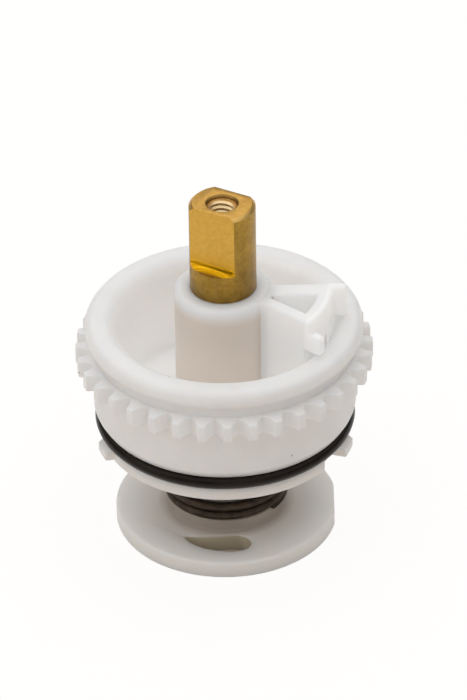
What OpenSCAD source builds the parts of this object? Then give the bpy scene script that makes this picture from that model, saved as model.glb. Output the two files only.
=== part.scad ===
// Mixer cap cartridge for a single-lever shower valve.
// A toothed cap carries a turning stem, and a sprung flow disc hangs below it.
// Millimetres, Z up, the stem's axis on Z and the flow disc's lower face at Z = 0.
// Angles round the axis count from the front (-Y) towards +X, anticlockwise from above.

/* [Cap] */
// Outer diameter of the cup's wall
cup_d = 37.7; // [37:0.1:40]
// Inner diameter of the cup at its floor
cup_inner_d = 30.3; // [29.5:0.1:31]
// Widening of the cup's inner radius from the floor up to the lip
cup_draft = 0.4; // [0:0.1:0.6]
// Height of the cap's lower edge above the flow disc's lower face, at rest
cap_z = 15.1; // [14.6:0.1:16]
// Height of the cap from its lower edge to the crest of the lip
cap_h = 19.6; // [18.6:0.1:21]
// Height of the cup's floor above the cap's lower edge
floor_h = 5.3; // [5.2:0.1:6]
// Thickness of the cup's floor over the spring pocket
floor_t = 1.9; // [1.6:0.1:2.2]
// Outer diameter of the rounded lip
lip_d = 39.8; // [39:0.1:41]
// Height of the rounded lip
lip_h = 2.9; // [2.4:0.1:3.4]
// Diameter of the flange under the O-ring
flange_d = 35.6; // [35.2:0.1:36.4]
// Thickness of that flange
flange_t = 1.95; // [1.6:0.05:2.3]

/* [Teeth] */
// Number of teeth round the cup
tooth_n = 36; // [30:1:40]
// Diameter over the teeth
tooth_tip_d = 42.6; // [41.6:0.1:43.6]
// Height of the toothed ring
tooth_h = 2.7; // [2:0.1:3.2]
// Height of the toothed ring's lower face above the cap's lower edge
tooth_z = 12.4; // [11.6:0.1:12.8]
// Width of a tooth at its crest
tooth_crest = 1.2; // [0.8:0.1:1.5]
// Depth of the rounded valleys between the teeth
tooth_depth = 2.0; // [1:0.1:2.2]
// Shape of a valley's floor, from 1.3 for pointed to 4 for square
tooth_valley = 1.6; // [1.3:0.1:4]
// Angle of the tooth nearest the front
tooth_turn = 1.2; // [-5:0.1:5]

/* [Body O-ring] */
// Section diameter of the body O-ring
ring_section = 2.0; // [1.8:0.05:2.1]
// Diameter of the groove's floor, which the ring grips
groove_d = 33.4; // [33:0.1:33.6]
// Height of the groove
groove_h = 2.3; // [2.2:0.05:2.5]

/* [Locating ears] */
// Radius that the ears reach
ear_r = 18.9; // [18.6:0.1:20]
// Angle of each ear's middle, to the left and right of the front
ear_at = 70.5; // [60:0.5:75]
// Angle that an ear spans
ear_span = 10; // [8:1:18]
// Width of the slope on an ear's upper outer edge
ear_slope = 0.7; // [0.2:0.1:1.2]
// Angle that the gap in front of the right ear spans
ear_gap_span = 13; // [6:1:16]
// Depth of that gap into the flange
ear_gap_depth = 1.2; // [0.6:0.1:1.6]

/* [Stem] */
// Diameter of the hub that stands in the cup
hub_d = 14.0; // [13:0.1:14.6]
// Height of the hub's top above the cap's lower edge
hub_h = 24.9; // [24:0.1:27]
// Radius of the hub's top edge
hub_round = 1.0; // [0.4:0.1:1.4]
// Diameter of the journal that turns in the cap
journal_d = 10.8; // [10.4:0.1:11]
// Radial clearance of the journal in the cap's bore
journal_gap = 0.05; // [0.03:0.01:0.09]
// Wall of the neck round the journal
neck_wall = 1.55; // [1.3:0.05:1.7]
// Length of the neck below the cap's lower edge
neck_l = 3.7; // [3.4:0.1:4]
// Width across the flats of the drive end
drive_flats = 7.2; // [6.6:0.1:8]
// Diameter of the drive end
drive_d = 9.8; // [9.4:0.1:10.2]

/* [Stop arm] */
// Angle of the arm's front face
arm_from = 50; // [44:1:56]
// Angle of the arm's back face
arm_to = 91; // [86:1:97]
// Clearance of the arm inside the cup
arm_gap = 0.45; // [0.3:0.05:0.8]
// Radius of the head above the lip
head_r = 15.7; // [15:0.1:16.2]
// Radius that the two fingers reach
finger_r = 17.6; // [17:0.1:18]
// Thickness of a finger
finger_t = 1.4; // [1:0.1:1.8]
// Drop of the front finger's top below the arm's top
finger_drop = 1.2; // [0:0.1:2]
// Clearance of the head and fingers over the lip
finger_gap = 0.3; // [0.2:0.05:0.5]
// Wall in front of the moulded pocket
pocket_front_wall = 1.9; // [1.4:0.1:2.4]
// Wall behind the moulded pocket
pocket_back_wall = 2.8; // [2:0.1:3.4]
// Wall outside the moulded pocket
pocket_outer_wall = 2.1; // [1.5:0.1:2.6]
// Depth of the moulded pocket
pocket_depth = 5; // [2:0.5:8]

/* [Stops in the cup] */
// Angle that a stop rib spans
stop_span = 7; // [5:1:10]
// Angle from the arm's back face round to the far face of the second rib
stop_far = 112; // [105:1:118]
// Height of the stop ribs above the cup's floor
stop_h = 9; // [6:0.5:11]
// Radial length of a stop rib
stop_l = 4.5; // [3:0.1:5.5]

/* [Spindle] */
// Diameter of the brass spindle
spindle_d = 9.5; // [9:0.05:10]
// Width across the spindle's flats
spindle_flats = 6.35; // [6:0.05:7]
// Height of the spindle above the hub
spindle_out = 14.0; // [12:0.1:16]
// Height of the full round part above the hub
spindle_round_h = 4.3; // [3.6:0.1:5.4]
// Depth of the spindle's root in the hub
spindle_in = 14; // [12:0.5:15]
// Diameter of that root
root_d = 9.0; // [8.6:0.1:9.1]
// Width across the root's flats
root_flats = 7.6; // [7:0.1:8]
// Angle that the front flat faces
flat_turn = -28.5; // [-45:0.5:45]
// Width of the turned edge at the spindle's top
spindle_edge = 0.5; // [0.2:0.1:0.8]
// Diameter of the screw hole in the spindle
screw_hole_d = 3.4; // [3.2:0.05:4]
// Depth of the screw hole
screw_hole_l = 10; // [8:0.5:12]
// Diameter of the screw hole's countersunk mouth
screw_mouth_d = 4.8; // [4.4:0.1:5.2]

/* [Spring] */
// Wire diameter
wire_d = 1.4; // [1.2:0.05:1.5]
// Outer diameter of the spring
spring_d = 18.0; // [17.6:0.05:18.4]
// Thickness of the wire's ends, where the spring is ground flat
tip_t = 0.4; // [0.3:0.05:0.7]
// Closed turns at the spring's lower end
closed_turns = 2; // [1:0.5:2]
// Open turns between them and the closed turn at the top
open_turns = 3; // [2.5:0.5:3.5]
// Angle of the wire's lower end
wire_end_at = 50; // [0:1:90]
// Thickness of the steel seat ring above the spring
seat_t = 0.5; // [0.4:0.05:0.7]

/* [Flow disc] */
// Diameter of the flow disc
disc_d = 32.1; // [30:0.1:34]
// Thickness of the flow disc
disc_t = 2.6; // [2.3:0.1:3]
// Height of the spring's seat above the disc's lower face
seat_h = 4.6; // [4.4:0.1:5.2]
// Diameter of that seat
seat_d = 16.7; // [16:0.1:17.4]
// Diameter of the guide sleeve inside the spring
sleeve_d = 13.6; // [13:0.1:14]
// Length of the guide sleeve above the spring's seat
sleeve_l = 3.1; // [2:0.1:3.2]
// Travel of the disc up the stem
travel = 1.5; // [1:0.1:1.5]
// Radial clearance of the disc on the stem's drive end
drive_gap = 0.08; // [0.05:0.01:0.12]
// Inner radius of a kidney port
port_in = 9.1; // [9:0.1:10]
// Outer radius of a kidney port
port_out = 13.2; // [12.8:0.1:14]
// Angle of the front port's left end
port_from = -34; // [-40:1:-20]
// Angle of the front port's right end
port_to = 18; // [10:1:30]
// Angle at which the front port is widest
port_widest = 4; // [-6:1:8]
// Corner shape of a port's tapered end, from 1.3 for slanted to 10 for square
port_taper = 1.5; // [1.3:0.1:10]
// Corner shape of a port's blunt end
port_blunt = 2.2; // [1.3:0.1:10]
// Depth of the flat that the moulding gate left on the disc's rim
gate_depth = 0.4; // [0.1:0.1:0.8]
// Angle of that flat
gate_at = 91; // [0:1:180]

/* [Small parts] */
// Section diameter of the two stem O-rings
stem_ring_section = 1.5; // [1.3:0.05:1.6]
// Thickness of the washer under the hub
thrust_t = 0.5; // [0.4:0.05:0.8]
// Diameter of the washer under the hub
thrust_d = 13.4; // [12.6:0.1:13.8]
// Thickness of the retaining clip
clip_t = 0.9; // [0.7:0.05:1]
// Diameter of the retaining clip
clip_d = 13.2; // [12.6:0.1:13.6]
// Thickness of the washer above the clip
clip_washer_t = 0.5; // [0.4:0.05:0.6]
// Thickness of the washer below the disc's web
disc_washer_t = 0.6; // [0.5:0.05:0.6]
// Diameter of the washer below the disc's web
disc_washer_d = 11.4; // [11:0.1:11.8]
// Thread diameter of the disc screw
disc_screw_d = 3; // [2.5:0.1:3.5]
// Length of the disc screw's shank
disc_screw_l = 8; // [6:0.5:9]
// Height of the disc screw's head
disc_screw_head_h = 1.1; // [0.9:0.05:1.1]

/* [Hidden] */
$fn = 96;
eps = 0.01;
over = 1;
clear = 0.3;
// The ground ends of the spring stand this far off their seats
ground_gap = 0.02;

WHITE = [0.90, 0.90, 0.89];
BRASS = [0.78, 0.60, 0.25];
BLACK = [0.10, 0.09, 0.08];
STEEL = [0.62, 0.62, 0.63];
SPRING_STEEL = [0.28, 0.24, 0.21];

// Heights in the assembly
floor_z = cap_z + floor_h;
crest_z = cap_z + cap_h;
hub_z = floor_z + thrust_t;
hub_top = cap_z + hub_h;
spindle_top = hub_top + spindle_out;
groove_z = cap_z + flange_t;
ring_z = groove_z + groove_h / 2;
shoulder_z = groove_z + groove_h;
pocket_top = floor_z - floor_t;
neck_z = cap_z - neck_l;
clip_top = neck_z - clip_washer_t;
clip_z = clip_top - clip_t;
head_z = crest_z + finger_gap;
seat_ring_z = pocket_top - seat_t;

// Radii
cup_r = cup_d / 2;
cup_in_r = cup_inner_d / 2;
hub_r = hub_d / 2;
journal_r = journal_d / 2;
bore_r = journal_r + journal_gap;
neck_r = bore_r + neck_wall;
pocket_r = spring_d / 2 + clear;
spring_mean_r = (spring_d - wire_d) / 2;
arm_r = cup_in_r - arm_gap;
lip_r = lip_d / 2;
drive_r = drive_d / 2;
counter_r = disc_washer_d / 2 + clear;
spindle_r = spindle_d / 2;
cutter_r = 1.2;

// The stem's two O-rings, its clip groove and the room round them
stem_ring_gap = 0.03;
stem_ring_r = bore_r - stem_ring_gap - stem_ring_section / 2;
stem_groove_h = stem_ring_section + clear;
stem_ring_z = [for (share = [0.28, 0.72]) neck_z + share * (floor_z - neck_z)];
clip_groove_r = journal_r - 1;

// The counterbore keeps the screw's head inside the disc over the whole travel
screw_head_gap = 0.1;
web_z = travel + screw_head_gap + disc_screw_head_h + disc_washer_t;
drive_hole_l = disc_screw_l - disc_washer_t;

// A wedge of the plane from angle a to angle b, under a half turn
module wedge(a, b, reach = 60) {
    polygon([
        [0, 0],
        reach * [sin(a), -cos(a)],
        reach * [sin((a + b) / 2), -cos((a + b) / 2)] / cos((b - a) / 2),
        reach * [sin(b), -cos(b)]
    ]);
}

// A washer that stands on height z
module washer(outer_r, hole_r, z, t) {
    translate([0, 0, z])
        difference() {
            cylinder(r = outer_r, h = t);
            translate([0, 0, -over])
                cylinder(r = hole_r, h = t + 2 * over);
        }
}

// A round section turned about the axis
module torus(centre_r, section, z) {
    translate([0, 0, z])
        rotate_extrude()
            translate([centre_r, 0])
                circle(d = section, $fn = 32);
}

// A round bar with two flats that face angle turn and its opposite
module flatted(r, flats, z, h, turn = 0) {
    translate([0, 0, z])
        linear_extrude(h)
            intersection() {
                circle(r = r);
                rotate(turn)
                    square([4 * r, flats], center = true);
            }
}

// Outline of the cup and its lip, to the right of the axis
module cup_profile() {
    foot = 1.2;
    foot_in = 0.7;
    bead_z = crest_z - lip_h;
    bead_round = 1.2;
    wall_in = 0.25;
    corner_h = 0.9;
    mouth_r = cup_in_r + cup_draft;
    // Wall, drawn in a little towards the O-ring groove
    polygon([
        [cup_in_r - wall_in, floor_z - floor_t],
        [cup_r - foot_in, shoulder_z],
        [cup_r - foot_in * 0.3, shoulder_z + foot * 0.45],
        [cup_r, shoulder_z + foot],
        [cup_r, crest_z - lip_h / 2],
        [mouth_r, crest_z - lip_h / 2],
        [cup_in_r, floor_z + corner_h]
    ]);
    // Fillet between the floor and the wall
    polygon(concat(
        [[cup_in_r + 0.3, floor_z + corner_h], [cup_in_r + 0.3, floor_z - 0.3],
         [cup_in_r - corner_h, floor_z - 0.3]],
        [for (a = [270 : 22.5 : 360])
            [cup_in_r + corner_h * (cos(a) - 1), floor_z + corner_h * (1 + sin(a))]]
    ));
    // Rounded lip: an outer bead that fades into a gentle inward slope
    polygon([
        [mouth_r, bead_z],
        [cup_r, bead_z],
        [lip_r - 0.25, bead_z + 0.55],
        [lip_r, bead_z + 1.1],
        [lip_r, crest_z - bead_round],
        [lip_r - 0.12, crest_z - 0.75],
        [lip_r - 0.45, crest_z - 0.36],
        [lip_r - 1.0, crest_z - 0.1],
        [lip_r - 1.7, crest_z],
        [mouth_r + 2.0, crest_z],
        [mouth_r + 1.15, crest_z - 0.2],
        [mouth_r + 0.5, crest_z - 0.65],
        [mouth_r + 0.12, crest_z - 1.25],
        [mouth_r, crest_z - 1.8]
    ]);
}

// Radius of the toothed ring at share w of a valley's half width, from -1 to 1
function valley_r(w) = tooth_tip_d / 2 - tooth_depth * pow(1 - pow(abs(w), tooth_valley), 1 / tooth_valley);

// The toothed ring: flat above and below, with rounded valleys between narrow crests
module teeth() {
    pitch = 360 / tooth_n;
    crest = 2 * asin(tooth_crest / tooth_tip_d);
    steps = 8;
    points = [
        for (i = [0 : tooth_n - 1])
            for (k = [0 : steps])
                let (w = sin(-90 + k * 180 / steps),
                    at = tooth_turn + (i + 0.5) * pitch + w * (pitch - crest) / 2)
                valley_r(w) * [sin(at), -cos(at)]
    ];
    translate([0, 0, cap_z + tooth_z])
        linear_extrude(tooth_h)
            difference() {
                polygon(points);
                circle(r = cup_r - 0.4);
            }
}

// A stop rib on the cup's floor, from angle a on
module stop_rib(a) {
    translate([0, 0, floor_z - eps])
        linear_extrude(stop_h)
            intersection() {
                difference() {
                    circle(r = cup_in_r + 0.5);
                    circle(r = cup_in_r - stop_l);
                }
                wedge(a, a + stop_span);
            }
}

// A locating ear on the flange, with a slope on its upper outer edge
module ear(at) {
    intersection() {
        rotate_extrude()
            polygon([
                [flange_d / 2 - 1, cap_z],
                [ear_r, cap_z],
                [ear_r, cap_z + flange_t - ear_slope],
                [ear_r - ear_slope, cap_z + flange_t],
                [flange_d / 2 - 1, cap_z + flange_t]
            ]);
        translate([0, 0, cap_z - over])
            linear_extrude(flange_t + 2 * over)
                wedge(at - ear_span / 2, at + ear_span / 2);
    }
}

// The cap: cup, toothed ring, O-ring groove, flange with ears, and the neck for the stem
module cap_body() {
    skirt_in_r = cup_in_r - 0.4;
    core_in_r = pocket_r + 1.7;
    rib_n = 8;
    rib_t = 1.4;
    color(WHITE)
    difference() {
        union() {
            rotate_extrude()
                cup_profile();
            teeth();
            // Floor, down to the spring pocket's roof
            translate([0, 0, pocket_top])
                cylinder(r = cup_in_r + 0.5, h = floor_t);
            // Skirt below the groove, with the groove's floor inside it
            translate([0, 0, cap_z])
                cylinder(r = groove_d / 2, h = shoulder_z - cap_z + 0.4);
            translate([0, 0, cap_z])
                cylinder(r = flange_d / 2, h = flange_t);
            for (side = [-1, 1])
                ear(side * ear_at);
            // Neck round the journal
            translate([0, 0, neck_z])
                cylinder(r = neck_r, h = floor_z - neck_z);
            stop_rib(arm_to + 0.4);
            stop_rib(arm_to + stop_far - stop_span);
        }
        // Spring pocket round the neck
        translate([0, 0, cap_z - over])
            difference() {
                cylinder(r = pocket_r, h = pocket_top - cap_z + over);
                translate([0, 0, -over])
                    cylinder(r = neck_r, h = pocket_top - cap_z + 3 * over);
            }
        // Cored ring between the pocket's wall and the skirt, crossed by ribs
        translate([0, 0, cap_z - over])
            linear_extrude(pocket_top - cap_z + over)
                difference() {
                    circle(r = skirt_in_r);
                    circle(r = core_in_r);
                    for (i = [0 : rib_n - 1])
                        rotate(i * 360 / rib_n + 22.5)
                            translate([0, -rib_t / 2])
                                square([cup_r, rib_t]);
                }
        // Gap in the flange in front of the right ear
        translate([0, 0, cap_z - over])
            linear_extrude(flange_t + over)
                difference() {
                    wedge(ear_at - ear_span / 2 - ear_gap_span, ear_at - ear_span / 2);
                    circle(r = flange_d / 2 - ear_gap_depth);
                }
        // Bore for the stem's journal
        translate([0, 0, neck_z - over])
            cylinder(r = bore_r, h = floor_z - neck_z + 2 * over);
    }
}

module body_o_ring() {
    color(BLACK)
        torus(groove_d / 2 + ring_section / 2, ring_section, ring_z);
}

// The stem: journal, drive end, hub and stop arm in one moulding
module stem() {
    color(WHITE)
    difference() {
        union() {
            // Hub with a rounded top edge
            translate([0, 0, hub_z])
                rotate_extrude()
                    hub_profile(hub_top - hub_z);
            translate([0, 0, clip_z - eps])
                cylinder(r = journal_r, h = hub_z - clip_z + 2 * eps);
            flatted(drive_r, drive_flats, web_z, clip_z - web_z);
            arm();
        }
        spindle_solid();
        for (z = stem_ring_z)
            groove(journal_r, stem_ring_r - stem_ring_section / 2, z - stem_groove_h / 2, stem_groove_h);
        groove(journal_r, clip_groove_r, clip_z, clip_t);
        translate([0, 0, web_z - over])
            cylinder(d = disc_screw_d, h = drive_hole_l + over);
    }
}

// Half outline of the hub
module hub_profile(h) {
    square([hub_r, h - hub_round]);
    square([hub_r - hub_round, h]);
    translate([hub_r - hub_round, h - hub_round])
        intersection() {
            circle(r = hub_round, $fn = 48);
            square(hub_round);
        }
}

// A groove round a bar of radius bar_r, cut from the outside
module groove(bar_r, floor_r, z, h) {
    translate([0, 0, z])
        difference() {
            cylinder(r = bar_r + over, h = h);
            translate([0, 0, -over])
                cylinder(r = floor_r, h = h + 2 * over);
        }
}

// The stop arm: a sector with a moulded pocket, a head above the lip and two fingers
module arm() {
    foot_gap = 0.6;
    difference() {
        union() {
            translate([0, 0, hub_z + foot_gap])
                linear_extrude(hub_top - hub_z - foot_gap)
                    sector(hub_r - 1, arm_r, arm_from, arm_to);
            translate([0, 0, head_z])
                linear_extrude(hub_top - head_z)
                    sector(hub_r - 1, head_r, arm_from, arm_to);
            finger(arm_to, -1, hub_top);
            finger(arm_from, 1, hub_top - finger_drop);
        }
        translate([0, 0, hub_top - pocket_depth])
            linear_extrude(pocket_depth + over)
                pocket_outline();
    }
}

// Part of a ring between two angles
module sector(inner_r, outer_r, a, b) {
    intersection() {
        difference() {
            circle(r = outer_r);
            circle(r = inner_r);
        }
        wedge(a, b);
    }
}

// A finger over the lip, flush with the arm's face at angle a
module finger(a, side, top) {
    translate([0, 0, head_z])
        linear_extrude(top - head_z)
            intersection() {
                circle(r = finger_r);
                wedge(arm_from, arm_to);
                rotate(a - 90)
                    translate([head_r - 2, side > 0 ? -over : -finger_t])
                        square([6, finger_t + over]);
            }
}

// The pocket's outline: the sector less its front, back and outer walls
module pocket_outline() {
    reach = 3 * head_r;
    intersection() {
        difference() {
            circle(r = head_r - pocket_outer_wall);
            circle(r = hub_r + 0.4);
        }
        rotate(arm_to - 90)
            translate([0, -reach - pocket_back_wall])
                square(reach);
        rotate(arm_from - 90)
            translate([0, pocket_front_wall])
                square(reach);
    }
}

// The spindle without its screw hole: a shank with two milled flats, and its root in the hub
module spindle_solid() {
    ledge_z = hub_top + spindle_round_h;
    reach = 2 * spindle_d;
    root_z = hub_top - spindle_in;
    grip = 0.6;
    grip_h = 1.8;
    difference() {
        rotate_extrude()
            polygon([
                [0, hub_top],
                [spindle_r, hub_top],
                [spindle_r, spindle_top - spindle_edge],
                [spindle_r - spindle_edge, spindle_top],
                [0, spindle_top]
            ]);
        for (side = [0, 180])
            rotate(flat_turn + side)
                translate([-reach / 2, -spindle_flats / 2, 0]) {
                    // Milled flat, with a round run-out at its foot
                    translate([0, -reach, ledge_z + cutter_r])
                        cube([reach, reach, spindle_out]);
                    translate([0, -reach - cutter_r, ledge_z])
                        cube([reach, reach, cutter_r + eps]);
                    translate([0, -cutter_r, ledge_z + cutter_r])
                        rotate([0, 90, 0])
                            cylinder(r = cutter_r, h = reach);
                }
    }
    // The shank's shoulder sits on the hub, and two grooves lock the root into the moulding
    difference() {
        flatted(root_d / 2, root_flats, root_z, spindle_in + eps, flat_turn);
        for (share = [0.25, 0.65])
            groove(root_d / 2, root_d / 2 - grip, root_z + share * spindle_in, grip_h);
    }
}

// The brass spindle, moulded into the hub
module spindle() {
    mouth_l = (screw_mouth_d - screw_hole_d) / 2;
    color(BRASS)
    difference() {
        spindle_solid();
        translate([0, 0, spindle_top - screw_hole_l])
            cylinder(d = screw_hole_d, h = screw_hole_l + over);
        translate([0, 0, spindle_top - mouth_l])
            cylinder(d1 = screw_hole_d, d2 = screw_mouth_d + 2 * eps, h = mouth_l + eps);
    }
}

module thrust_washer() {
    color(WHITE)
        washer(thrust_d / 2, journal_r + 0.1, floor_z, thrust_t);
}

module lower_stem_o_ring() {
    color(BLACK)
        torus(stem_ring_r, stem_ring_section, stem_ring_z[0]);
}

module upper_stem_o_ring() {
    color(BLACK)
        torus(stem_ring_r, stem_ring_section, stem_ring_z[1]);
}

module clip_washer() {
    color(WHITE)
        washer(neck_r - 0.1, journal_r + 0.05, clip_top, clip_washer_t);
}

// An open retaining ring that snaps into the stem's groove from the side
module stem_clip() {
    mouth = clip_groove_r * 1.6;
    color(STEEL)
        translate([0, 0, clip_z])
            linear_extrude(clip_t)
                difference() {
                    circle(d = clip_d);
                    circle(r = clip_groove_r);
                    translate([0, -mouth / 2])
                        square([clip_d, mouth]);
                    for (a = [120, 240])
                        rotate(a)
                            translate([clip_groove_r, 0])
                                circle(r = 1, $fn = 32);
                }
}

module spring_seat_ring() {
    color(STEEL)
        washer(pocket_r - 0.1, neck_r + 0.1, seat_ring_z, seat_t);
}

// Height of the wire's centre after t turns: closed turns, open turns, closed turn
function wire_z(t) =
    let (closed = wire_d * 1.04,
        low = seat_h + tip_t - wire_d / 2,
        high = seat_ring_z - tip_t + wire_d / 2,
        pitch = (high - low - (closed_turns + 1) * closed) / open_turns)
    t < closed_turns ? low + closed * t
    : t < closed_turns + open_turns ? low + closed * closed_turns + pitch * (t - closed_turns)
    : high - closed * (closed_turns + open_turns + 1 - t);

// Angle on the wire's section at which it meets height z, kept off the section's poles
function cut_angle(z, centre) = asin(max(-cos(15), min(cos(15), (z - centre) / (wire_d / 2))));

// A compression spring with closed ends ground flat, swept along its helix
module spring() {
    half = 6;
    sides = 2 * half;
    per_turn = 30;
    turns = closed_turns + open_turns + 1;
    rings = round(turns * per_turn);
    points = [
        for (i = [0 : rings])
            let (t = i * turns / rings, a = wire_end_at - 90 + 360 * t, centre = wire_z(t),
                from = cut_angle(seat_h + ground_gap, centre),
                to = cut_angle(seat_ring_z - ground_gap, centre))
            for (k = [0 : sides - 1])
                let (share = (k < half ? k : sides - 1 - k) / (half - 1),
                    turn = from + share * (to - from),
                    r = spring_mean_r + (k < half ? 1 : -1) * wire_d / 2 * cos(turn))
                [r * cos(a), r * sin(a), centre + wire_d / 2 * sin(turn)]
    ];
    walls = [
        for (i = [0 : rings - 1])
            for (k = [0 : sides - 1])
                let (n = (k + 1) % sides)
                [i * sides + k, (i + 1) * sides + k, (i + 1) * sides + n, i * sides + n]
    ];
    color(SPRING_STEEL)
        polyhedron(points, concat(
            [[for (k = [0 : sides - 1]) k]],
            [[for (k = [sides - 1 : -1 : 0]) rings * sides + k]],
            walls));
}

// Half the port's width at share u from its widest place to an end of the given corner shape
function port_half(u, corner) = (port_out - port_in) / 2 * pow(1 - pow(u, corner), 1 / corner);

// A kidney port through the disc, turned about the axis
module port(turn) {
    middle_r = (port_in + port_out) / 2;
    steps = 28;
    shares = [for (i = [0 : steps]) sin(-90 + i * 180 / steps)];
    side = function (sign) [
        for (u = sign > 0 ? shares : [for (i = [steps - 1 : -1 : 1]) shares[i]])
            let (end = u < 0 ? port_from : port_to,
                corner = u < 0 ? port_taper : port_blunt,
                at = turn + port_widest + abs(u) * (end - port_widest),
                r = middle_r + sign * port_half(abs(u), corner))
            r * [sin(at), -cos(at)]
    ];
    translate([0, 0, -over])
        linear_extrude(disc_t + 2 * over)
            polygon(concat(side(1), side(-1)));
}

// The flow disc: ported face, spring seat and the sleeve that the stem drives
module flow_disc() {
    disc_r = disc_d / 2;
    edge = 0.35;
    foot = 0.35;
    color(WHITE)
    difference() {
        union() {
            rotate_extrude()
                polygon([
                    [0, 0],
                    [disc_r - edge, 0],
                    [disc_r, edge],
                    [disc_r, disc_t - edge],
                    [disc_r - edge, disc_t],
                    [seat_d / 2 + foot, disc_t],
                    [seat_d / 2 + foot * 0.3, disc_t + foot * 0.3],
                    [seat_d / 2, disc_t + foot],
                    [seat_d / 2, seat_h - 0.2],
                    [seat_d / 2 - 0.2, seat_h],
                    [sleeve_d / 2, seat_h],
                    [sleeve_d / 2, seat_h + sleeve_l - 0.4],
                    [sleeve_d / 2 - 0.4, seat_h + sleeve_l],
                    [0, seat_h + sleeve_l]
                ]);
        }
        port(0);
        port(180);
        // Gate flat on the rim
        rotate(gate_at - 90)
            translate([disc_r - gate_depth, -disc_r, -over])
                cube([disc_r, disc_d, disc_t + 2 * over]);
        translate([0, 0, -over])
            cylinder(r = counter_r, h = web_z + over);
        flatted(drive_r + drive_gap, drive_flats + 2 * drive_gap, -over, seat_h + sleeve_l + 2 * over);
    }
}

module disc_washer() {
    color(STEEL)
        washer(disc_washer_d / 2, disc_screw_d / 2, web_z - disc_washer_t, disc_washer_t);
}

// A low-headed screw that holds the disc's washer on the stem's end
module disc_screw() {
    head_top = web_z - disc_washer_t;
    head_r = disc_screw_d * 0.95;
    color(STEEL)
    difference() {
        union() {
            translate([0, 0, head_top - disc_screw_head_h])
                rotate_extrude()
                    polygon([
                        [0, 0],
                        [head_r - 0.5, 0],
                        [head_r, 0.5],
                        [head_r, disc_screw_head_h],
                        [0, disc_screw_head_h]
                    ]);
            translate([0, 0, head_top])
                cylinder(d = disc_screw_d, h = disc_screw_l);
        }
        // Cross recess
        for (a = [0, 90])
            rotate(a + 20)
                translate([-1.5, -0.35, head_top - disc_screw_head_h - over])
                    cube([3, 0.7, 0.7 + over]);
    }
}

cap_body();
body_o_ring();
stem();
spindle();
thrust_washer();
upper_stem_o_ring();
lower_stem_o_ring();
clip_washer();
stem_clip();
spring_seat_ring();
spring();
flow_disc();
disc_washer();
disc_screw();
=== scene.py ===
# %% [markdown]
# # A shower mixer cap, dressed for a product photograph
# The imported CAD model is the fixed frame: a toothed plastic cap, a stem with a brass spindle that turns
# in it, and a ported disc on a spring below. Every size here is in that frame, and no node is moved.
# CAD edges are sharp and CAD colours are flat. This file rounds the mouldings, winds the spring,
# cuts the screw thread and gives each surface a finish.

# %% Load the frame
import math

import bmesh
import bpy
import numpy as np
from mathutils import Matrix, Vector


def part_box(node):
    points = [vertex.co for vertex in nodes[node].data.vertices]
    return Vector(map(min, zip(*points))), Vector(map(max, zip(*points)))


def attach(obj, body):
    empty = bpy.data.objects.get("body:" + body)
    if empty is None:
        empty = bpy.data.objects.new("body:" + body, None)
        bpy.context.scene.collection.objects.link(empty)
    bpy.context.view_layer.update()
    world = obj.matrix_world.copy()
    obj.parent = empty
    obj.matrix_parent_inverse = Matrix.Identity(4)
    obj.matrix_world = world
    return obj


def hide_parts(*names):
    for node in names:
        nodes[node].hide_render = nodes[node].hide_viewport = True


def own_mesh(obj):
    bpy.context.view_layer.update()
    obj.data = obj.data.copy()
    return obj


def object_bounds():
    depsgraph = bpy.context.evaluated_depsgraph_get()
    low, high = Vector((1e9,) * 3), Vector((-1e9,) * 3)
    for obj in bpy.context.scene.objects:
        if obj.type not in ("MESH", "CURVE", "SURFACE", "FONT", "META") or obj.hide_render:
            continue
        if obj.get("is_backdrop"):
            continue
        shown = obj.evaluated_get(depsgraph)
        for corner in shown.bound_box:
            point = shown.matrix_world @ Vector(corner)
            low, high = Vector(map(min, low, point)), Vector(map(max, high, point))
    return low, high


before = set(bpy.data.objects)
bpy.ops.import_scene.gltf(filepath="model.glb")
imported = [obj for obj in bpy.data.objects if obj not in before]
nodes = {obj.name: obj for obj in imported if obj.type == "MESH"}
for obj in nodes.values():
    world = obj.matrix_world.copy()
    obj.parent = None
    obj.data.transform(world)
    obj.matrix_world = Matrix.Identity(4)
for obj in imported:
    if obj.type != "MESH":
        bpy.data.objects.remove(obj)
cad_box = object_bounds()
scene = bpy.context.scene
MM = 0.001
print("CAD nodes:", ", ".join(sorted(nodes)))

# %% [markdown]
# ## Camera
# The photograph was taken from well back with a long lens, looking down at 35 degrees, and the camera
# was turned by nearly one degree. A camera could be placed by eye, but the teeth and rims only line up
# if it is exact, so its place was fitted to the circles of the lip, the O-ring and the disc. The view
# is aimed at the middle of the picture, so the lens needs no shift.

# %% Camera
PICTURE_W, PICTURE_H = 467, 700
FOCAL_PX = 6241.0
look_down = math.radians(35.16)
roll = math.radians(0.90)
axis_px = (225.2, 410.3)
axis_point = Vector((0, 0, 18.2 * MM))
camera_distance = 0.9

ahead = Vector((0, math.cos(look_down), -math.sin(look_down)))
level_right = Vector((1, 0, 0))
level_up = Vector((0, math.sin(look_down), math.cos(look_down)))
picture_right = math.cos(roll) * level_right - math.sin(roll) * level_up
picture_up = math.sin(roll) * level_right + math.cos(roll) * level_up
to_middle = (ahead * FOCAL_PX
             + picture_right * (PICTURE_W / 2 - axis_px[0])
             + picture_up * (axis_px[1] - PICTURE_H / 2))
focal_to_middle = to_middle.length
to_middle.normalize()
view_right = to_middle.cross(picture_up).normalized()
view_up = view_right.cross(to_middle)

camera_data = bpy.data.cameras.new("photo_camera")
camera_data.sensor_width = 36
camera_data.lens = focal_to_middle / PICTURE_H * camera_data.sensor_width
camera = bpy.data.objects.new("photo_camera", camera_data)
scene.collection.objects.link(camera)
turn = Matrix((view_right, view_up, -to_middle)).transposed().to_4x4()
camera.matrix_world = Matrix.Translation(axis_point - ahead * camera_distance) @ turn
scene.camera = camera
print("lens, mm:", round(camera_data.lens, 1))

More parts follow.
